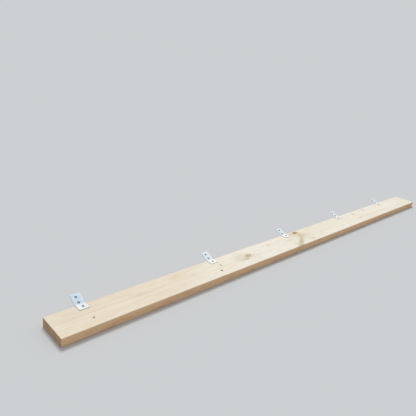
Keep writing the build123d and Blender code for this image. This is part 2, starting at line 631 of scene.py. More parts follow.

# %% [markdown]
# ## Marks on the board
# The top carries faint darker smudges and a dark stain round each face nail, where iron met wet
# wood. They could be painted by hand on a picture, but a short list of places is easier to read and
# move. What is worked out for each point is kept on the mesh as a named attribute, so that the shader
# can read it.

# %% Smudges
# Distance from the left end, distance in from the back edge, half length, half width, strength
SMUDGES = [
    (592.0, 36.0, 42.0, 20.0, 0.30),
    (667.0, 63.0, 26.0, 10.0, 0.24),
    (372.0, 65.0, 40.0, 14.0, 0.30),
    (110.0, 30.0, 125.0, 45.0, 0.22),
    (1050.0, 86.0, 58.0, 19.0, 0.34),
    (988.0, 68.0, 38.0, 26.0, 0.46),
    (1485.0, 26.0, 21.0, 27.0, 0.58),
    (1562.0, 74.0, 42.0, 24.0, 0.34),
    (1243.0, 45.0, 16.0, 7.0, 0.38),
    (1426.0, 65.0, 24.0, 9.0, 0.26),
    (1573.0, 118.0, 17.0, 12.0, 0.52),
    (2206.0, 92.0, 20.0, 9.0, 0.45),
    (2373.0, 20.0, 22.0, 9.0, 0.45),
    (1512.0, 2.0, 42.0, 9.0, 0.45),
    (1414.0, 108.0, 12.0, 16.0, 0.28),
]


def smudge(points):
    """How dark the smudges are at each point, 0 to 1."""
    dark = np.zeros(len(points))
    for from_left, from_back, half_length, half_width, strength in SMUDGES:
        u = (points[:, 0] - LEFT - from_left) / half_length
        v = (points[:, 1] - BACK + from_back) / half_width
        dark = np.maximum(dark, strength * np.exp(-(u**2) - v**2))
    return dark * (points[:, 2] > THICKNESS - ARRIS)


print("Smudges:", len(SMUDGES))

# %% Nail stains and what the mesh keeps
# Darkness of each face nail's stain, half length, half width, degrees that its length turns from the grain
NAIL_STAINS = [(0.5, 12.0, 5.0, 62.0), (1.0, 9.5, 8.5, 0.0), (0.65, 8.0, 7.5, 0.0)]
# The fresh tone is the wood's warm tan, made darker and warmer with painted shade
UNDERSIDE_FRESH = 0.6  # how much of the fresh wood's tone the underside keeps


def nail_mark(points):
    """How far points lie from a face nail, where 1 is the edge of its stain, and how dark that is."""
    which = to_face_nail(points)[1]
    darkness, half_length, half_width, turned = np.array(NAIL_STAINS)[which].T
    x, y = (points[:, :2] - np.array(face_nails)[which]).T
    turn = np.radians(turned)
    along = (x * np.cos(turn) + y * np.sin(turn)) / half_length
    across = (y * np.cos(turn) - x * np.sin(turn)) / half_width
    return np.stack([np.hypot(along, across), darkness, np.zeros(len(points))], 1)


def keep(piece, **values):
    """Stores numbers or vectors, one for each point of a piece, as named attributes."""
    for name, field in values.items():
        kind, part = ("FLOAT", "value") if np.ndim(field) == 1 else ("FLOAT_VECTOR", "vector")
        attribute = piece.data.attributes.new(name, kind, "POINT")
        attribute.data.foreach_set(part, np.ravel(field).astype(np.float32))


# How much of the fresh, painted-shade tone each point takes: all of it on the narrow faces, part of it on
# the underside
fresh = normals[:, 1] ** 2 + UNDERSIDE_FRESH * np.minimum(normals[:, 2], 0) ** 2
keep(board, ring=ring, knot=knot, knot_place=knot_place, fresh=fresh)
keep(board, spike=spike(points), smudge=smudge(points), nail_mark=nail_mark(points))
print("Kept on the board:", [field.name for field in board.data.attributes if field.domain == "POINT"])

# %% [markdown]
# ## Unwrapping the board
# A viewer that can't run these materials needs them painted into one square picture, and a map that
# says which part of the picture each face wears. Blender could make the map by itself, but a long board
# wastes a square. So we cut its skin into half-length strips and stack them. The underside gets half
# the room, and the ends and the holes get patches of their own.

# %% Corners of the faces
grid_number = np.array(used)
strip_first = np.array([first for first, _ in side_columns])
counts = np.array([len(face) for face in faces])
face_starts = np.cumsum(counts) - counts
corner_point = np.concatenate(faces)
corner_face = np.repeat(np.arange(len(faces)), counts)
corner_finish = np.array(finishes)[corner_face]
centres = np.add.reduceat(points[corner_point], face_starts) / counts[:, None]
# A face of the grid starts at the corner with the lowest place round the section, and that tells its strip
first_place = grid_number[corner_point[face_starts]] % AROUND
face_strip = np.searchsorted(strip_first, first_place, side="right") - 1
beside_hole = np.maximum.reduceat(grid_number[corner_point], face_starts) >= LOOPS * AROUND
face_strip = np.where(beside_hole, np.where(centres[:, 2] > THICKNESS / 2, 0, 2), face_strip)
print("Faces by strip, top first:", np.bincount(face_strip))

# %% Places on the map
MAP_PIXELS, MAP_GAP = 1024, 4
END_PIXELS = 1.6  # pixels per mm on the sawn ends
HOLE_WIDE, HOLE_HIGH = 34, 56  # pixels of a hole's patch
CROSSING = 12.0  # room in mm for the faces that reach over the middle of the board
STRIP_SHARES = np.array([1.0, 1.0, 0.5, 1.0])  # of the top, the back, the underside and the front
AXIS_ROOM = 0.1  # a point that close to a hole's axis is on it
END_PATCH = WIDTH * END_PIXELS + 2 * MAP_GAP
END_ROW = THICKNESS * END_PIXELS + 2 * MAP_GAP


def on_strips(point, face, strip):
    """Places in pixels for the corners of planed faces."""
    steps = np.linalg.norm(np.diff(np.vstack([section, section[:1]]), axis=0), axis=1)
    around = np.concatenate([[0], np.cumsum(steps)])  # distance round the section to each of its points
    lengths = np.diff([*around[strip_first], around[-1]])
    room = MAP_PIXELS - END_ROW - (2 * len(lengths) + 1) * MAP_GAP
    per_mm = room / (2 * (lengths * STRIP_SHARES).sum())
    right = (centres[face, 0] > 0).astype(int)
    x, y, _ = points[point].T
    along_loop = around[grid_number[point] % AROUND] - around[strip_first[strip]]
    along_loop += np.where(along_loop < 0, around[-1], 0)
    in_grid = grid_number[point] < LOOPS * AROUND
    down = np.where(in_grid, along_loop, np.abs(y - section[strip_first[strip], 0]))
    heights = np.repeat(lengths * STRIP_SHARES, 2) * per_mm
    tops = END_ROW + np.concatenate([[0], np.cumsum(heights + MAP_GAP)[:-1]])
    share = (x - np.where(right, -CROSSING, LEFT)) / (LENGTH / 2 + CROSSING)
    u = share * (MAP_PIXELS - 2 * MAP_GAP) + MAP_GAP
    return np.stack([u, tops[2 * strip + right] + down * STRIP_SHARES[strip] * per_mm], 1)


def on_ends(point, face):
    """Places in pixels for the corners of the sawn ends."""
    _, y, z = points[point].T
    right = centres[face, 0] > 0
    shift = np.where(right, END_PATCH, MAP_GAP)
    across = np.where(right, y - FRONT, BACK - y)
    return np.stack([shift + across * END_PIXELS, MAP_GAP + z * END_PIXELS], 1)


def on_holes(point, face):
    """Places in pixels for the corners inside the holes, which are unrolled."""
    holes = np.array([*face_nails, *nail_seats])
    which = np.linalg.norm(centres[face][:, None, :2] - holes, axis=2).argmin(1)
    out, out_face = (places[:, :2] - holes[which] for places in (points[point], centres[face]))
    angle, angle_face = (np.arctan2(way[:, 1], way[:, 0]) for way in (out, out_face))
    unrolled = angle_face + (angle - angle_face + pi) % (2 * pi) - pi
    turn = (pi - np.where(np.hypot(*out.T) < AXIS_ROOM, angle_face, unrolled)) / (2 * pi)
    shift = 2 * END_PATCH + (HOLE_WIDE + 2 * MAP_GAP) * which
    up = points[point][:, 2] / THICKNESS
    return np.stack([shift + turn * HOLE_WIDE, MAP_GAP + up * HOLE_HIGH], 1)


print("Room for the ends:", round(END_ROW), "of", MAP_PIXELS, "pixels")

# %% Unwrap the board
map_places = on_strips(corner_point, corner_face, face_strip[corner_face])
for finish, places in ((SAWN, on_ends), (HOLE, on_holes)):
    takes_it = (corner_finish == finish)[:, None]
    map_places = np.where(takes_it, places(corner_point, corner_face), map_places)
board_map = board.data.uv_layers.new(name="OFBake")
board_map.uv.foreach_set("vector", (map_places / MAP_PIXELS).astype(np.float32).ravel())
print("Map from", np.round(map_places.min(0)), "to", np.round(map_places.max(0)), "pixels")

# %% [markdown]
# ## Building blocks for finishes
# A finish is built like paint: a ground tone, and other tones laid over it where a mask shows. Noise
# gives the masks, stretched along the grain, and soft steps give them their edges. An effect can also
# be a node group, which works like a function with named inputs and outputs, so that several materials
# can use it.

# %% Masks and tones
def soft_step(tree, value, low, high, start, end):
    """start below low, end above high, with a smooth curve between them."""
    sockets = {"Value": value, "From Min": low, "From Max": high, "To Min": start, "To Max": end}
    return add(tree, "MapRange", sockets, interpolation_type="SMOOTHSTEP")[0]


def rising(tree, value, low, high, most=1.0):
    """A mask that comes in between low and high."""
    return soft_step(tree, value, low, high, 0.0, most)


def falling(tree, value, low, high, most=1.0):
    """A mask that goes out between low and high."""
    return soft_step(tree, value, low, high, most, 0.0)


def mix(tree, factor, first, second):
    """Mixes two colours."""
    return add(tree, "Mix", {0: factor, 6: first, 7: second}, data_type="RGBA", blend_type="MIX")[2]


def tinted(tree, ground, tone, mask, amount):
    """A colour with a tone laid over it where the mask shows, at most by that amount."""
    return mix(tree, calc(tree, "MULTIPLY", mask, amount), ground, tone)


def linear(part):
    """One part of a screen colour, 0 to 255, in the linear numbers that shaders use."""
    part = part / 255
    return part / 12.92 if part <= 0.04045 else ((part + 0.055) / 1.055) ** 2.4


def colour(red, green, blue):
    return linear(red), linear(green), linear(blue), 1.0


print("Middle grey, 128 on a screen, is", round(linear(128), 3), "to a shader")

# %% Places, noise and attributes
def stretched(tree, place, sizes, shift=0.0):
    """A place in mm counted in steps of sizes, for textures with long or flat features."""
    steps = add(tree, "VectorMath", {0: place, 1: [1 / size for size in sizes]}, operation="MULTIPLY")[0]
    return add(tree, "VectorMath", {0: steps, 1: (shift,) * 3}, operation="ADD")[0]


def noise_of(tree, place, sizes, detail=2.0, shift=0.0):
    """Noise from 0 to 1 with features of about those sizes in mm: long, wide and high."""
    where = stretched(tree, place, sizes, shift)
    return add(tree, "TexNoise", {"Vector": where, "Scale": 1.0, "Detail": detail})[0]


def around_zero(tree, value):
    """A value from 0 to 1 moved down by a half."""
    return calc(tree, "SUBTRACT", value, 0.5)


def shifted(tree, value, by, amount):
    """A value moved by noise times an amount, which makes an edge or a line uneven."""
    return calc(tree, "MULTIPLY_ADD", by, amount, value)


def place_in_mm(tree):
    """Where a point lies on the object, in mm."""
    where = add(tree, "TexCoord")["Object"]
    return add(tree, "VectorMath", {0: where, "Scale": 1 / MM}, operation="SCALE")[0]


def kept(tree, name, output="Fac"):
    """What the mesh keeps under that name: a number, or a vector with the output Vector."""
    return add(tree, "Attribute", attribute_name=name)[output]


def parts_of(tree, vector):
    """X, Y and Z of a vector."""
    return add(tree, "SeparateXYZ", {0: vector})


def level(tree, vector):
    """A vector without its Z."""
    return add(tree, "VectorMath", {0: vector, 1: (1.0, 1.0, 0.0)}, operation="MULTIPLY")[0]


print("Materials so far:", bpy.data.materials.keys())

# %% Groups
def new_group(name, inputs, outputs):
    """An empty node group. Inputs are names with defaults, and outputs are the names of numbers."""
    tree = bpy.data.node_groups.new(name, "ShaderNodeTree")
    for label, default in inputs.items():
        kind = "NodeSocketVector" if isinstance(default, tuple) else "NodeSocketFloat"
        tree.interface.new_socket(label, in_out="INPUT", socket_type=kind).default_value = default
    for label in outputs:
        tree.interface.new_socket(label, in_out="OUTPUT", socket_type="NodeSocketFloat")
    return tree, tree.nodes.new("NodeGroupInput").outputs, tree.nodes.new("NodeGroupOutput").inputs


def join(tree, sockets, **values):
    """Joins each value to the socket of that name."""
    for name, value in values.items():
        tree.links.new(value, sockets[name])


def use(tree, group, inputs):
    """Places a node group and returns its outputs."""
    return add(tree, "Group", inputs, node_tree=group)


ORIGIN = (0.0, 0.0, 0.0)  # what a group's place is when nothing is joined to it
print("Node groups so far:", len(bpy.data.node_groups))

# %% [markdown]
# ## Growth rings
# Each year adds pale early wood that darkens slowly and then ends at a sharp line of late wood. A wave
# texture could draw stripes, but these rings have to follow the tree that we worked out. So the group
# takes the ring number that the mesh keeps, and its fraction tells how far into the year a point lies.

# %% Growth rings
def make_growth_rings():
    inputs = {"Ring": 0.0, "Place": ORIGIN, "Waver": 0.15}
    tree, given, result = new_group("growth_rings", inputs, ("Late", "Year"))
    waver = around_zero(tree, noise_of(tree, given["Place"], (70, 6, 6)))
    ring = shifted(tree, given["Ring"], waver, given["Waver"])
    share = calc(tree, "FRACT", ring)
    darkens = calc(tree, "POWER", rising(tree, share, 0.25, 0.93), 1.6)
    late = calc(tree, "MULTIPLY", darkens, falling(tree, share, 0.95, 1.0))
    year = add(tree, "TexWhiteNoise", {"W": calc(tree, "FLOOR", ring)}, noise_dimensions="1D")["Value"]
    join(tree, result, Late=late, Year=year)
    return tree


growth_rings = make_growth_rings()
print("Group", growth_rings.name, "with", len(growth_rings.nodes), "nodes")

# %% [markdown]
# ## Fibre
# Between the rings, planed wood shows fine streaks, the short brown dashes of resin canals, and broad
# patches that differ a little. Each is noise stretched along the grain to the length of the real thing.

# %% Fibre
def make_wood_fibre():
    outputs = ("Streak", "Dash", "Patch", "Cloud")
    tree, given, result = new_group("wood_fibre", {"Place": ORIGIN}, outputs)
    fine = noise_of(tree, given["Place"], (90, 1.3, 1.3), detail=3.0)
    broad = noise_of(tree, given["Place"], (260, 7, 7), shift=3.1)
    canals = noise_of(tree, given["Place"], (11, 0.8, 0.8), detail=1.0, shift=7.7)
    join(
        tree,
        result,
        Streak=calc(tree, "MULTIPLY_ADD", broad, 0.5, calc(tree, "MULTIPLY", fine, 0.5)),
        Dash=rising(tree, canals, 0.70, 0.78),
        Patch=noise_of(tree, given["Place"], (420, 90, 90), shift=11.3),
        Cloud=noise_of(tree, given["Place"], (75, 20, 20), detail=4.0, shift=15.9),
    )
    return tree


wood_fibre = make_wood_fibre()
print("Group", wood_fibre.name, "with", len(wood_fibre.nodes), "nodes")

# %% [markdown]
# ## Knot wood
# A cut branch has a darker heart with rings of its own, a rim, disturbed wood round it, and cracks that
# run outward where it dried. The mesh keeps how far each point lies from the nearest knot, counted so
# that 1 is its edge. The group turns that into one mask for each of these, with noise to break the
# edges.

# %% Knot wood
def make_knot_wood():
    inputs = {"Reach": NO_KNOT, "Knot place": ORIGIN, "Place": ORIGIN}
    outputs = ("Heart", "Rim", "Halo", "Tone", "Check", "Brown")
    tree, given, result = new_group("knot_wood", inputs, outputs)
    strength = parts_of(tree, given["Knot place"])["Z"]
    direction = add(tree, "VectorMath", {0: level(tree, given["Knot place"])}, operation="NORMALIZE")[0]
    uneven = around_zero(tree, noise_of(tree, given["Place"], (14, 7, 7), detail=3.0))
    reach = shifted(tree, given["Reach"], uneven, 0.7)
    spokes = noise_of(tree, direction, (0.22, 0.22, 0.22), detail=1.0, shift=6.1)
    masks = {
        "Heart": falling(tree, reach, 0.7, 1.2),
        "Rim": calc(tree, "MULTIPLY", rising(tree, reach, 0.78, 0.98), falling(tree, reach, 0.98, 1.18)),
        "Halo": falling(tree, reach, 0.9, 2.6),
        "Check": calc(tree, "MULTIPLY", rising(tree, spokes, 0.68, 0.76), falling(tree, reach, 0.8, 0.95)),
    }
    for name, mask in masks.items():
        tree.links.new(calc(tree, "MULTIPLY", mask, strength), result[name])
    # The knot's own rings, which are clearest where the noise is high
    ring = shifted(tree, calc(tree, "MULTIPLY", given["Reach"], 38.0), uneven, 14.0)
    clear = soft_step(tree, uneven, -0.15, 0.2, start=0.15, end=0.5)
    swing = calc(tree, "MULTIPLY", calc(tree, "SINE", ring), clear)
    join(tree, result, Tone=calc(tree, "ADD", swing, 0.5), Brown=rising(tree, strength, 0.6, 0.9))
    return tree


knot_wood = make_knot_wood()
print("Group", knot_wood.name, "with", len(knot_wood.nodes), "nodes")

# %% [markdown]
# ## Saw marks
# A round saw leaves slightly curved strokes across the end grain. They are circles round a point far
# below the board and off to one side, which is where the middle of the saw was, so a sine of the
# distance draws them.

# %% Saw marks
SAW_MIDDLE = (-260.0, -120.0)  # Y and Z in mm


def make_saw_marks():
    tree, given, result = new_group("saw_marks", {"Place": ORIGIN, "Pitch": 2.4}, ("Mark",))
    at = parts_of(tree, given["Place"])
    squares = [
        calc(tree, "POWER", calc(tree, "ADD", at[axis], -middle_of_saw), 2.0)
        for axis, middle_of_saw in zip("YZ", SAW_MIDDLE)
    ]
    reach = calc(tree, "SQRT", calc(tree, "ADD", *squares))
    uneven = noise_of(tree, given["Place"], (20, 30, 30))
    stroke = shifted(tree, calc(tree, "DIVIDE", reach, given["Pitch"]), uneven, 1.4)
    wave = calc(tree, "SINE", calc(tree, "MULTIPLY", stroke, 2 * pi))
    mark = calc(tree, "MULTIPLY_ADD", wave, 0.5, 0.5)
    faint = noise_of(tree, given["Place"], (20, 12, 12), shift=5.0)
    join(tree, result, Mark=calc(tree, "MULTIPLY", mark, faint))
    return tree


saw_marks = make_saw_marks()
print("Group", saw_marks.name, "with", len(saw_marks.nodes), "nodes")

# %% [markdown]
# ## Planed wood
# The top has bleached in the sun to a pale cream, and it is paler still away from the left end. The narrow
# faces keep the fresh wood's warm tan, made darker and warmer still with painted shade, and the underside
# takes most of that tone. Separate materials would part sharply at the arrises. So one material mixes the
# tones by how fresh and shaded each point is, which the mesh keeps.

# %% Tones of planed wood
# Each first for the top near the left end, then for the paler top further along, then for the fresh narrow
# faces, whose tone is partly painted shade
EARLY_TONES = colour(239, 229, 211), colour(246, 241, 231), colour(239, 202, 161)
LATE_TONES = colour(226, 207, 178), colour(231, 217, 194), colour(212, 166, 121)
PATCH_TONES = colour(233, 220, 200), colour(239, 230, 214), colour(229, 192, 152)
FADE_FROM, FADE_TO, FADE_SLANT = 540.0, 800.0, -1.5  # from the left end in mm, and how far the fade leans
RESIN, CRUSHED, SMUDGED = colour(178, 140, 98), colour(100, 88, 72), colour(190, 167, 131)


def planed_tones(tree, place):
    """Early wood, late wood and patches, mixed by where a point lies and by its fresh tone, which is partly
    painted shade.
    """
    at = parts_of(tree, place)
    slanted = calc(tree, "MULTIPLY_ADD", at["Y"], FADE_SLANT, at["X"])
    paler_along = rising(tree, slanted, LEFT + FADE_FROM, LEFT + FADE_TO)
    fresh = kept(tree, "fresh")
    return [
        mix(tree, fresh, mix(tree, paler_along, less, more), new)
        for less, more, new in (EARLY_TONES, LATE_TONES, PATCH_TONES)
    ]


def growth(tree, place, waver):
    return use(tree, growth_rings, {"Ring": kept(tree, "ring"), "Place": place, "Waver": waver})


print("Bleaches from", FADE_FROM, "to", FADE_TO, "mm from the left end")

# %% [markdown]
# ## Branches and marks in the planed wood
# Over the ground tones lie, one after another, resin, the wood round the knots, the spike knot,
# smudges, the knots themselves and the nail stains. Stains creep along the fibres, so one noise draws
# all their edges out that way, and another makes them patchy.

# %% The spike knot's colour
SPIKE_TOP, SPIKE_FOOT = colour(214, 193, 163), colour(194, 184, 148)
SPIKE_WIDE, SPIKE_LONG = 24.0, 118.0  # in mm, to scale the grain that runs down it
KNOT_HEART, KNOT_RIM, KNOT_HALO = colour(122, 106, 50), colour(192, 177, 116), colour(216, 202, 158)


def with_spike(tree, wood, feather, patchy):
    """Adds the branch that was cut along its length. It has a grain of its own, which runs down it."""
    at = parts_of(tree, kept(tree, "spike", "Vector"))
    side, down = calc(tree, "MULTIPLY", at["X"], SPIKE_WIDE), calc(tree, "MULTIPLY", at["Y"], SPIKE_LONG)
    on_branch = add(tree, "CombineXYZ", {0: side, 1: down})[0]
    grain = noise_of(tree, on_branch, (4.5, 70, 70), shift=1.7)
    aside = shifted(tree, calc(tree, "ABSOLUTE", at["X"]), feather, 0.55)
    core = falling(tree, aside, 0.3, 1.15, most=0.62)
    skirt = falling(tree, aside, 0.3, 2.1, most=0.38)
    inside = calc(tree, "MULTIPLY", calc(tree, "ADD", core, skirt), at["Z"])
    shade = mix(tree, rising(tree, at["Y"], 0.3, 0.7), SPIKE_TOP, SPIKE_FOOT)
    shade = mix(tree, rising(tree, grain, 0.45, 0.65, most=0.3), shade, KNOT_RIM)
    return tinted(tree, wood, shade, inside, patchy)


print("Grain of the spike knot:", SPIKE_LONG, "mm long")

# %% The other branches and marks
BROWN_HEART, BROWN_RIM = colour(112, 82, 44), colour(196, 168, 116)
KNOT_EDGE, KNOT_CRACK = colour(138, 116, 82), colour(92, 74, 52)


def with_knots(tree, wood, knots):
    """Adds the hearts of the knots, olive or brown, with their rims and cracks."""
    dark = mix(tree, knots["Brown"], KNOT_HEART, BROWN_HEART)
    pale = mix(tree, knots["Brown"], KNOT_RIM, BROWN_RIM)
    heart = mix(tree, calc(tree, "MULTIPLY_ADD", knots["Tone"], 0.44, 0.13), dark, pale)
    wood = mix(tree, knots["Heart"], wood, heart)
    wood = tinted(tree, wood, KNOT_EDGE, knots["Rim"], amount=0.55)
    return tinted(tree, wood, KNOT_CRACK, knots["Check"], amount=0.7)


def with_marks(tree, place, wood, fibre):
    """Adds what lies on every planed face: resin, knots, the spike knot, smudges and nail stains."""
    knot_at = kept(tree, "knot_place", "Vector")
    knots = use(tree, knot_wood, {"Reach": kept(tree, "knot"), "Knot place": knot_at, "Place": place})
    feather = around_zero(tree, noise_of(tree, place, (22, 2.2, 2.2), detail=3.0, shift=4.4))
    blotches = noise_of(tree, place, (34, 12, 12), detail=4.0, shift=2.2)
    patchy = soft_step(tree, blotches, 0.3, 0.65, start=0.45, end=1.0)
    wood = tinted(tree, wood, RESIN, fibre["Dash"], amount=0.28)
    wood = tinted(tree, wood, KNOT_HALO, knots["Halo"], amount=0.6)
    wood = with_spike(tree, wood, feather, patchy)
    drawn_out = calc(tree, "MULTIPLY", kept(tree, "smudge"), shifted(tree, 1.0, feather, 2.4))
    wood = tinted(tree, wood, SMUDGED, drawn_out, patchy)
    wood = with_knots(tree, wood, knots)
    nail = parts_of(tree, kept(tree, "nail_mark", "Vector"))
    from_nail = shifted(tree, nail["X"], feather, 1.1)
    return tinted(tree, wood, CRUSHED, nail["Y"], falling(tree, from_nail, 0.4, 1.0, most=0.97))


print("Marks:", len(SMUDGES), "smudges,", len(KNOTS), "knots and", len(NAIL_STAINS), "nail stains")

# %% Planed wood
def dress(tree, surface, tone, roughness, height, depth):
    """Joins a colour, a roughness and a fine relief, its depth in mm, to the surface shader."""
    tree.links.new(tone, surface["Base Color"])
    tree.links.new(roughness, surface["Roughness"])
    bump = add(tree, "Bump", {"Height": height, "Distance": depth * MM, "Strength": 1.0})
    tree.links.new(bump[0], surface["Normal"])


def make_planed():
    material, tree, surface = new_material("softwood_planed", specular=0.3)
    place = place_in_mm(tree)
    rings = growth(tree, place, waver=0.16)
    fibre = use(tree, wood_fibre, {"Place": place})
    early, late, patch = planed_tones(tree, place)
    wood = mix(tree, rising(tree, fibre["Patch"], 0.35, 0.7, most=0.8), early, patch)
    wood = mix(tree, rising(tree, fibre["Cloud"], 0.48, 0.7, most=0.52), wood, late)
    wood = mix(tree, rising(tree, fibre["Streak"], 0.35, 0.7, most=0.35), wood, late)
    lines = calc(tree, "MULTIPLY", rings["Late"], calc(tree, "MULTIPLY_ADD", rings["Year"], 0.5, 0.45))
    wood = tinted(tree, wood, late, lines, amount=0.8)
    wood = with_marks(tree, place, wood, fibre)
    roughness = soft_step(tree, fibre["Streak"], 0.2, 0.8, start=0.62, end=0.78)
    grain = calc(tree, "MULTIPLY_ADD", fibre["Streak"], 0.7, calc(tree, "MULTIPLY", rings["Late"], 0.5))
    dress(tree, surface, wood, roughness, grain, depth=0.12)
    return material


planed = make_planed()
print("Material", planed.name, "with", len(planed.node_tree.nodes), "nodes")

# %% [markdown]
# ## Sawn ends and holes
# End grain is a bundle of open tubes, and light sinks in, so the sawn ends are darker than the faces
# and much rougher. The same rings show on them as arcs, under the strokes of the saw and some grey from
# the weather. Inside a nail hole the fibres are torn and darker still.

# %% Sawn ends and holes
PORES_PALE, PORES_DARK, END_LATE = colour(212, 176, 142), colour(184, 147, 112), colour(150, 110, 76)
SAW_PALE, END_GREY = colour(224, 192, 156), colour(158, 136, 114)
TORN_PALE, TORN_DARK = colour(150, 116, 82), colour(104, 78, 54)


def make_sawn():
    material, tree, surface = new_material("softwood_sawn", specular=0.2)
    place = place_in_mm(tree)
    rings = growth(tree, place, waver=0.10)
    pores = noise_of(tree, place, (0.8, 0.8, 0.8), detail=3.0)
    marks = use(tree, saw_marks, {"Place": place, "Pitch": 2.6})["Mark"]
    grey = noise_of(tree, place, (40, 26, 26), detail=3.0, shift=9.0)
    wood = mix(tree, rising(tree, pores, 0.3, 0.75), PORES_PALE, PORES_DARK)
    wood = tinted(tree, wood, END_LATE, rings["Late"], amount=0.85)
    wood = tinted(tree, wood, SAW_PALE, marks, amount=0.45)
    wood = mix(tree, rising(tree, grey, 0.45, 0.75, most=0.5), wood, END_GREY)
    roughness = soft_step(tree, pores, 0.2, 0.8, start=0.75, end=0.92)
    rough = calc(tree, "MULTIPLY_ADD", marks, 1.0, calc(tree, "MULTIPLY", pores, 0.5))
    dress(tree, surface, wood, roughness, rough, depth=0.35)
    return material


def make_hole_wood():
    material, tree, surface = new_material("softwood_hole", specular=0.1)
    torn = noise_of(tree, place_in_mm(tree), (1.2, 1.2, 6), detail=3.0)
    wood = mix(tree, rising(tree, torn, 0.3, 0.7), TORN_PALE, TORN_DARK)
    roughness = soft_step(tree, torn, 0.2, 0.8, start=0.85, end=0.98)
    dress(tree, surface, wood, roughness, torn, depth=0.3)
    return material


for material in (planed, make_sawn(), make_hole_wood()):
    board.data.materials.append(material)
print("Board materials:", [material.name for material in board.data.materials])

# %% [markdown]
# ## Tie plates
# A tie plate starts as a flat strip: it is cut, punched, and then bent. It could be an extruded outline
# with booleans for the holes, but building it the way it is made gives clean faces and a rounded rim.
# The flat strip is filled with triangles round its holes, given thickness, and only then bent, by a
# rule that turns each flat point into a bent one. The flat place stays on the mesh, so that marks can
# be drawn in the flat.

# %% The flat strip
SHEET, CORNER, CORNER_STEPS = 2.0, 3.0, 6  # thickness, and the round corners with their faces
BEND, BEND_OUTER = radians(24.4), 5.0  # radius on the underside
FREE_LEG = 50.0
BEND_START = -BEND_OUTER * tan(BEND / 2)
ARC = BEND * (BEND_OUTER - SHEET / 2)
STRIP_START, STRIP_END = -PURLIN_LEG - BEND_START, ARC + FREE_LEG + BEND_START
HOLE_RADIUS, HOLE_SIDES = 2.5, 28
# Holes: across from the strip's centre line, and along it from where its bend starts
STRIP_HOLES = [
    (2.5, -17.5 - BEND_START),
    (-3.0, ARC + 9.0 + BEND_START),
    (-3.0, ARC + 35.0 + BEND_START),
]
EDGE_STEP, BEND_STEPS = 4.0, 4  # the long edges are split, so that they can bend
bend_rows = [ARC * n / BEND_STEPS for n in range(BEND_STEPS + 1)]


def strip_outline():
    """Points round the flat strip and the outward direction at each, anticlockwise."""
    right, low, high = PLATE_HALF - CORNER, STRIP_START + CORNER, STRIP_END - CORNER
    even = np.arange(ceil(low / EDGE_STEP), ceil(high / EDGE_STEP)) * EDGE_STEP
    stops = np.unique([*even, *bend_rows])
    turns = [
        (right, low, -90, stops),
        (right, high, 0, []),
        (-right, high, 90, stops[::-1]),
        (-right, low, 180, []),
    ]
    places, outward = [], []
    for x, u, start, stops_after in turns:
        for n in range(CORNER_STEPS + 1):
            angle = radians(start + 90 / CORNER_STEPS * n)
            outward.append((cos(angle), sin(angle)))
            places.append((x + CORNER * cos(angle), u + CORNER * sin(angle)))
        edge_x, edge_outward = places[-1][0], outward[-1]
        places += [(edge_x, stop) for stop in stops_after]
        outward += [edge_outward] * len(stops_after)
    return np.array(places), np.array(outward)


def ring_points(hole, radius):
    angles = np.arange(HOLE_SIDES) * 2 * pi / HOLE_SIDES
    return hole + radius * np.stack([np.cos(angles), np.sin(angles)], 1)


print("Flat strip:", round(STRIP_END - STRIP_START, 1), "by", 2 * PLATE_HALF, "by", SHEET, "mm")

# %% Filling the strip
HOLE_RINGS = (3.4, 4.3, 5.6)  # radii of the rings of points round each hole
RING_ROOM = 1.2  # between the last ring and the rows of points
ROW_STEP, ROW_COLUMNS, EDGE_ROOM, AFTER_BEND = 3.4, 11, 3.0, 2.5
# Each row of the rounded rim: how far in from the edge, and how high, from the top face to the underside
RIM = [(0.30, SHEET), (0.09, SHEET - 0.09), (0.0, SHEET - 0.30), (0.0, 0.30), (0.09, 0.09), (0.30, 0.0)]


def from_holes(place):
    """Distance from a flat place to the middle of the nearest hole."""
    return min(np.hypot(place[0] - hole[0], place[1] - hole[1]) for hole in STRIP_HOLES)


def inner_points():
    """Rings of points round the holes, and rows of them across the strip, closest where it bends."""
    inner = [place for hole in STRIP_HOLES for radius in HOLE_RINGS for place in ring_points(hole, radius)]
    before = np.arange(STRIP_START + EDGE_ROOM, -EDGE_ROOM / 2, ROW_STEP)
    after = np.arange(ARC + AFTER_BEND, STRIP_END - EDGE_ROOM / 2, ROW_STEP)
    across = np.linspace(-PLATE_HALF + EDGE_ROOM, PLATE_HALF - EDGE_ROOM, ROW_COLUMNS)
    grid = [(x, u) for u in [*before, *bend_rows, *after] for x in across]
    return inner + [place for place in grid if from_holes(place) > HOLE_RINGS[-1] + RING_ROOM]


def band(upper, lower):
    """Faces between two loops of points of the same length."""
    return list(zip(upper, lower, lower[1:] + lower[:1], upper[1:] + upper[:1]))


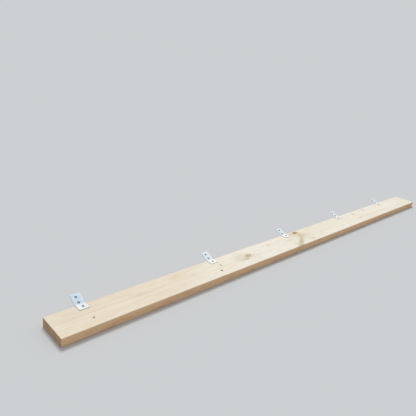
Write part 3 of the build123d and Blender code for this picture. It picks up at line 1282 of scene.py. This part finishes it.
def make_strip():
    """Flat points (x, u, h) and faces of one tie plate, and 1 for each point on its sheared edge."""
    loops = [strip_outline()]
    for hole in STRIP_HOLES:
        circle = ring_points(hole, HOLE_RADIUS)[::-1]
        loops.append((circle, -(circle - hole) / HOLE_RADIUS))
    rims = [loop - outward * RIM[0][0] for loop, outward in loops]
    ends = np.cumsum([len(rim) for rim in rims])
    borders = [list(range(end - len(rim), end)) for rim, end in zip(rims, ends)]
    hole_edges = [pair for border in borders[1:] for pair in zip(border, border[1:] + border[:1])]
    flat = np.array([*np.concatenate(rims), *inner_points()])
    count, outline = len(flat), ends[0]
    top = fill_flat(flat[:outline], flat[outline:], hole_edges)
    top = [face for face in top if from_holes(flat[face].mean(0)) > HOLE_RADIUS]
    strip = [(*place, height) for height in (SHEET, 0.0) for place in flat]
    strip_faces = top + [[v + count for v in face[::-1]] for face in top]
    for (loop, outward), upper in zip(loops, borders):
        underside = [v + count for v in upper]
        for inset, height in RIM[1:-1]:
            lower = list(range(len(strip), len(strip) + len(loop)))
            strip += [(*place, height) for place in loop - outward * inset]
            strip_faces += band(upper, lower)
            upper = lower
        strip_faces += band(upper, underside)
    cut_edge = np.zeros(len(strip))
    cut_edge[2 * count : 2 * count + (len(RIM) - 2) * outline] = 1
    return np.array(strip), strip_faces, cut_edge


strip, strip_faces, cut_edge = make_strip()
print("Flat strip:", len(strip), "points and", len(strip_faces), "faces")

# %% Bending and placing the plates
# A cleaner plate is also painted brighter, a painted sheen of reflected sky, and only the duller ones get
# dull patches
PLATE_CLEAN_AND_SHEEN = (0.0, 0.85, 0.9, 1.0, 1.0)  # how clean and bright each plate's zinc still is


def bend(flat):
    """Where flat points go in the bent strip: x lies across, u along and h above the underside."""
    x, u, h = flat.T
    angle = np.clip(u / ARC, 0, 1) * BEND
    beyond = np.maximum(u - ARC, 0)
    y = BEND_START + np.minimum(u, 0) + (BEND_OUTER - h) * np.sin(angle) + beyond * cos(BEND)
    z = BEND_OUTER - (BEND_OUTER - h) * np.cos(angle) + beyond * sin(BEND)
    return np.stack([x, y, z], 1)


plates = []
for plate_x, node, clean in zip(plate_xs, PLATES, PLATE_CLEAN_AND_SHEEN):
    placed = bend(strip) + (plate_x, BACK, THICKNESS)
    plate = new_piece("strap_" + node[-1], placed, strip_faces, node)
    keep(plate, flat=strip, clean=np.full(len(strip), clean), cut_edge=cut_edge)
    plates.append(plate)
print("Tie plates:", [plate.name for plate in plates])

# %% [markdown]
# ## Plate nails
# A nail is a profile swept round its axis, which is how we build it. The head carries the chequered
# pattern that keeps a hammer from slipping, and the shank has the shallow rings that grip the wood. A
# bump map would lose both at the outline, so both are real, and cut inward from the real outline.

# %% The nail's profile
NAIL_HEAD, NAIL_HEAD_HIGH, NAIL_CHAMFER = 4.25, 1.4, 0.5  # radius, height and chamfer of the head
NAIL_NECK, NAIL_NECK_LONG, NAIL_LONG = 2.35, 1.6, 30.0  # radius and length of the neck, and length in all
NAIL_SIDES = 40
GRIP_RINGS, GRIP_START, GRIP_END = 14, -4.0, -24.2  # on the shank: how many, and from where to where
GRIP_PITCH, GRIP_DEPTH, GRIP_BOTTOM = 1.4, 0.14, (-0.5, -0.7)  # its bottom lies between those heights
CHEQUER, CHEQUER_WIDE, CHEQUER_DEPTH = 1.3, 0.38, 0.13  # pitch, width as a sine, and depth of the grooves
CHEQUER_FADE = (3.1, 3.4)
HEAD_GRID, HEAD_ROOM = 0.26, 0.15  # step of the points on the head, and their room at its edge


def nail_profile():
    """Radius and height of each loop of points, from the head's chamfer to where the point starts."""
    profile = [(NAIL_HEAD, NAIL_HEAD_HIGH - NAIL_CHAMFER), (NAIL_HEAD, 0.0)]
    profile += [(NAIL_NECK, 0.0), (NAIL_SHANK, -NAIL_NECK_LONG)]
    for n in range(GRIP_RINGS):
        z = GRIP_START - GRIP_PITCH * n
        profile += [(NAIL_SHANK, z), *((NAIL_SHANK - GRIP_DEPTH, z + below) for below in GRIP_BOTTOM)]
    return profile + [(NAIL_SHANK, GRIP_END), (NAIL_SHANK, NAIL_POINT - NAIL_LONG)]


def chequer(x, y):
    """Depth of the crossing grooves on the head, in mm."""
    along, across = (np.abs(np.sin(pi * place / CHEQUER)) < CHEQUER_WIDE for place in (x, y))
    return CHEQUER_DEPTH * np.maximum(along, across) * (1 - smooth(*CHEQUER_FADE, np.hypot(x, y)))


def make_nail():
    """Points and faces of a nail, its head standing on zero, and how deep in a groove each point lies."""
    angles = np.arange(NAIL_SIDES) * 2 * pi / NAIL_SIDES
    circle = np.stack([np.cos(angles), np.sin(angles)], 1)
    flat_radius = NAIL_HEAD - NAIL_CHAMFER
    steps = np.arange(-flat_radius, flat_radius, HEAD_GRID)
    inner = np.array([(x, y) for x in steps for y in steps if np.hypot(x, y) < flat_radius - HEAD_ROOM])
    head = np.concatenate([circle * flat_radius, inner])
    nail_points = [(x, y, NAIL_HEAD_HIGH - chequer(x, y)) for x, y in head]
    nail_faces = fill_flat(head[:NAIL_SIDES], inner)
    upper = list(range(NAIL_SIDES))
    for radius, z in nail_profile():
        lower = list(range(len(nail_points), len(nail_points) + NAIL_SIDES))
        nail_points += [(*place, z) for place in circle * radius]
        nail_faces += band(upper, lower)
        upper = lower
    tip = len(nail_points)
    nail_points = np.array([*nail_points, (0.0, 0.0, -NAIL_LONG)])
    nail_faces += [(first, tip, second) for first, second in zip(upper, upper[1:] + upper[:1])]
    groove = np.zeros(len(nail_points))
    groove[: len(head)] = (NAIL_HEAD_HIGH - nail_points[: len(head), 2]) / CHEQUER_DEPTH
    return nail_points, nail_faces, groove


nail_points, nail_faces, nail_groove = make_nail()
print("Nail:", len(nail_points), "points and", len(nail_faces), "faces")

# %% Placing the nails
nails = []
for (nail_x, nail_y), node in zip(nail_seats, NAILS):
    placed = nail_points + (nail_x, nail_y, THICKNESS + SHEET)
    nail = new_piece("clout_" + node[-1], placed, nail_faces, node, sharp=40)
    keep(nail, groove=nail_groove)
    nails.append(nail)
print("Nails:", [nail.name for nail in nails])

# %% [markdown]
# ## Zinc
# Hot-dip galvanised steel has crystals of zinc, called spangle, that differ a little in tone and in
# gloss. A picture of spangle would repeat, so we draw cells round scattered points instead, and wobble
# their borders. One group does it for the plates and the nails, with a size of crystal for each.

# %% Zinc
def make_zinc():
    inputs = {"Place": ORIGIN, "Crystal": 6.0}
    tree, given, result = new_group("zinc_spangle", inputs, ("Tone", "Scratch", "Dull"))
    where = stretched(tree, given["Place"], (2, 2, 2))
    uneven = add(tree, "TexNoise", {"Vector": where, "Scale": 1.0, "Detail": 2.0})["Color"]
    wobble = add(tree, "VectorMath", {0: uneven, "Scale": 1.6}, operation="SCALE")[0]
    wobbled = add(tree, "VectorMath", {0: given["Place"], 1: wobble}, operation="ADD")[0]
    per_mm = calc(tree, "DIVIDE", 1.0, given["Crystal"])
    cells = add(tree, "TexVoronoi", {"Vector": wobbled, "Scale": per_mm})
    scratches = noise_of(tree, given["Place"], (0.35, 22, 9), shift=4.0)
    join(
        tree,
        result,
        Tone=parts_of(tree, cells["Color"])["X"],
        Scratch=rising(tree, scratches, 0.62, 0.72),
        Dull=noise_of(tree, given["Place"], (14, 18, 14), detail=4.0, shift=8.0),
    )
    return tree


zinc = make_zinc()
print("Group", zinc.name, "with", len(zinc.nodes), "nodes")

# %% [markdown]
# ## The plates' finish
# The leg that lies flat on the wood is painted whiter, which is painted light, and the free leg a bluer
# tone, which is a painted reflection of the sky. Some plates are cleaner than others and also painted
# brighter, a painted sheen. Each shows the dull ring that a hammered nail head pressed into the zinc round
# a hole, darkened further with painted shade, fine drawing lines, and bare, darker steel where it was cut,
# with a painted shadow line along that edge. Everything is drawn in the flat strip's places, so it follows
# the sheet round the bend.

# %% The plates' finish
# Tones of the zinc, each on the purlin leg, whiter with painted light, and on the free leg, bluer with a
# painted reflection of the sky
PLATE_TONES = [
    ((216, 219, 221), (203, 220, 232)),  # darker crystals
    ((241, 241, 240), (225, 239, 249)),  # paler crystals
    ((209, 214, 218), (192, 213, 230)),  # dull patches
    # The two tones for clean zinc are also painted brighter, a painted sheen
    ((240, 239, 236), (231, 241, 246)),  # darker crystals where it is clean
    ((252, 251, 248), (245, 252, 254)),  # paler crystals where it is clean
]
# The cut edge's tone is bare steel, darkened further as a painted shadow line along the edge
SCRATCHED, SHEARED_AND_SHADOW, PUNCHED = colour(244, 249, 251), colour(88, 92, 94), colour(62, 70, 76)
# The ring round each hole is partly a nail head's dull imprint and partly painted shade, a contact shadow
# that reaches past the head
IMPRINT_SHADE_DARK, IMPRINT_SHADE_PALE = colour(48, 62, 71), colour(88, 103, 112)
HEAD_MARK_AND_SHADE = (4.7, 5.8)  # radii between which the mark of a nail's head fades out


def plate_zinc(tree, flat, spangle):
    """The zinc's tone on both legs, with painted light on the purlin leg and a painted sky reflection on
    the free leg, clean and painted brighter, or dull.
    """
    # The free leg takes the bluer tones, a painted reflection of the sky
    free_leg = rising(tree, parts_of(tree, flat)["Y"], 0.0, ARC)
    dark, pale, dull, clean_dark, clean_pale = (
        mix(tree, free_leg, colour(*on_purlin), colour(*on_free_leg))
        for on_purlin, on_free_leg in PLATE_TONES
    )
    clean = kept(tree, "clean")
    # Clean plates take the brighter tones, which are a painted sheen
    dark, pale = mix(tree, clean, dark, clean_dark), mix(tree, clean, pale, clean_pale)
    shade = mix(tree, spangle["Tone"], dark, pale)
    patches = rising(tree, spangle["Dull"], 0.45, 0.7, most=0.6)
    return tinted(tree, shade, dull, calc(tree, "SUBTRACT", 1.0, clean), patches)


def with_imprints_and_shade(tree, flat, shade):
    """Adds the mark of a nail's head round each hole, darkened further with painted shade, and the bare
    steel inside it.
    """
    on_top = rising(tree, parts_of(tree, flat)["Z"], SHEET - 0.5, SHEET - 0.2)
    scuffed = noise_of(tree, flat, (1.8, 2.2, 1.8), detail=3.0, shift=12.0)
    imprint_and_shade = mix(tree, rising(tree, scuffed, 0.42, 0.66), IMPRINT_SHADE_DARK, IMPRINT_SHADE_PALE)
    beside = level(tree, flat)
    for hole in STRIP_HOLES:
        reach = add(tree, "VectorMath", {0: beside, 1: (*hole, 0.0)}, operation="DISTANCE")["Value"]
        uneven = shifted(tree, calc(tree, "SUBTRACT", reach, 0.7), scuffed, 1.4)
        # The imprint is laid on darker than the zinc would be, as painted shade
        shade = tinted(tree, shade, imprint_and_shade, on_top, falling(tree, uneven, *HEAD_MARK_AND_SHADE, most=0.95))
        shade = mix(tree, falling(tree, reach, HOLE_RADIUS + 0.05, HOLE_RADIUS + 0.25), shade, PUNCHED)
    return shade


def make_plate_metal():
    material, tree, surface = new_material("galvanised_sheet", specular=0.35)
    flat = kept(tree, "flat", "Vector")
    spangle = use(tree, zinc, {"Place": flat, "Crystal": 6.0})
    shade = plate_zinc(tree, flat, spangle)
    shade = tinted(tree, shade, SCRATCHED, spangle["Scratch"], amount=0.25)
    # The sheared edge: darker bare steel with a painted shadow line
    shade = mix(tree, rising(tree, kept(tree, "cut_edge"), 0.3, 0.9, most=0.8), shade, SHEARED_AND_SHADOW)
    surface["Metallic"].default_value = 0.15
    roughness = soft_step(tree, spangle["Tone"], 0.0, 1.0, start=0.56, end=0.7)
    lines = calc(tree, "MULTIPLY", spangle["Scratch"], -0.3)
    dents = calc(tree, "MULTIPLY_ADD", spangle["Dull"], 1.0, lines)
    shade = with_imprints_and_shade(tree, flat, shade)
    dress(tree, surface, shade, roughness, dents, depth=0.12)
    return material


plate_metal = make_plate_metal()
for plate in plates:
    plate.data.materials.append(plate_metal)
print("Material", plate_metal.name, "with", len(plate_metal.node_tree.nodes), "nodes")

# %% [markdown]
# ## The nails' finish
# The nails are a darker grey than the plates. The same group draws smaller crystals on them, and the
# grooves of the head are darkened, dirt together with painted shade in the grooves, which the mesh tells
# apart.

# %% The nails' finish
NAIL_DARK, NAIL_PALE = colour(104, 118, 126), colour(126, 139, 146)
NAIL_DULL, GROOVE_DIRT_AND_SHADE = colour(80, 92, 99), colour(46, 54, 60)


def make_nail_metal():
    material, tree, surface = new_material("galvanised_clout", specular=0.5)
    spangle = use(tree, zinc, {"Place": place_in_mm(tree), "Crystal": 2.2})
    shade = mix(tree, spangle["Tone"], NAIL_DARK, NAIL_PALE)
    shade = mix(tree, rising(tree, spangle["Dull"], 0.4, 0.7, most=0.6), shade, NAIL_DULL)
    # The grooves get dirt and painted shade
    shade = tinted(tree, shade, GROOVE_DIRT_AND_SHADE, kept(tree, "groove"), amount=0.85)
    surface["Metallic"].default_value = 0.25
    roughness = soft_step(tree, spangle["Dull"], 0.3, 0.7, start=0.5, end=0.66)
    dress(tree, surface, shade, roughness, spangle["Dull"], depth=0.08)
    return material


nail_metal = make_nail_metal()
for nail in nails:
    nail.data.materials.append(nail_metal)
print("Material", nail_metal.name, "with", len(nail_metal.node_tree.nodes), "nodes")
